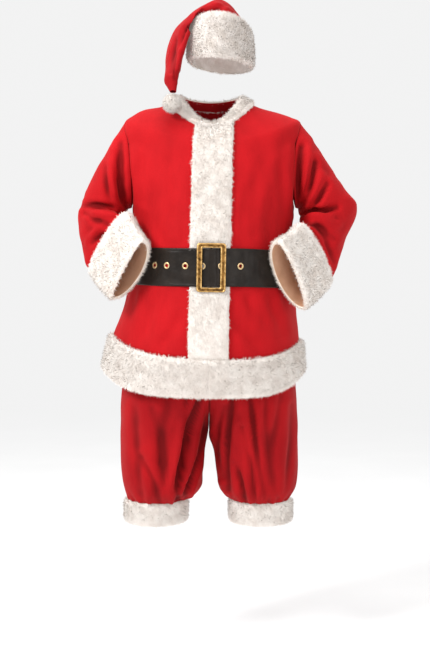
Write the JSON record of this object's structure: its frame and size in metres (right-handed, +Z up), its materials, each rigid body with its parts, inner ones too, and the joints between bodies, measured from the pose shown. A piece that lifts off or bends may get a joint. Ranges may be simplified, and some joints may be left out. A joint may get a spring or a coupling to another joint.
{
  "type": "santa suit",
  "caption": "Red velour santa suit as worn: fur-trimmed jacket, belt with buckle, cropped trousers and a hat with pompom.",
  "frame": {"origin": "centre of the jacket's neck opening, where the wearer's shoulders and neck hold the suit", "axes": "+Z up, -Y towards the suit's front, +X towards the wearer's left"},
  "size_m": [0.7812, 0.451, 1.4523],
  "materials": {
    "jacket_velour": "soft velour",
    "trouser_velour": "soft velour",
    "hat_velour": "soft velour",
    "fur": "short plush pile",
    "elastic": "ribbed",
    "leatherette": "satin",
    "antique_gold": "worn, mottled",
    "eyelet_gold": "satin"
  },
  "bodies": {
    "root": {"jacket_front_right": "jacket_velour", "jacket_front_left": "jacket_velour", "jacket_back": "jacket_velour", "sleeve_right": "jacket_velour", "sleeve_left": "jacket_velour", "front_fur_band": "fur", "hem_fur_band": "fur", "collar_fur": "fur", "cuff_fur_right": "fur", "cuff_fur_left": "fur", "leg_cuff_fur_right": "fur", "leg_cuff_fur_left": "fur", "hat_fur_band": "fur", "hat_pompom": "fur", "trousers_front_right": "trouser_velour", "trousers_back_right": "trouser_velour", "trousers_front_left": "trouser_velour", "trousers_back_left": "trouser_velour", "trousers_waistband": "elastic", "hat_crown_front": "hat_velour", "hat_crown_back": "hat_velour", "belt_strap": "leatherette", "buckle_frame": "antique_gold", "eyelet_1": "eyelet_gold", "eyelet_2": "eyelet_gold", "eyelet_3": "eyelet_gold", "eyelet_4": "eyelet_gold", "eyelet_5": "eyelet_gold", "eyelet_6": "eyelet_gold"}
  },
  "joints": []
}
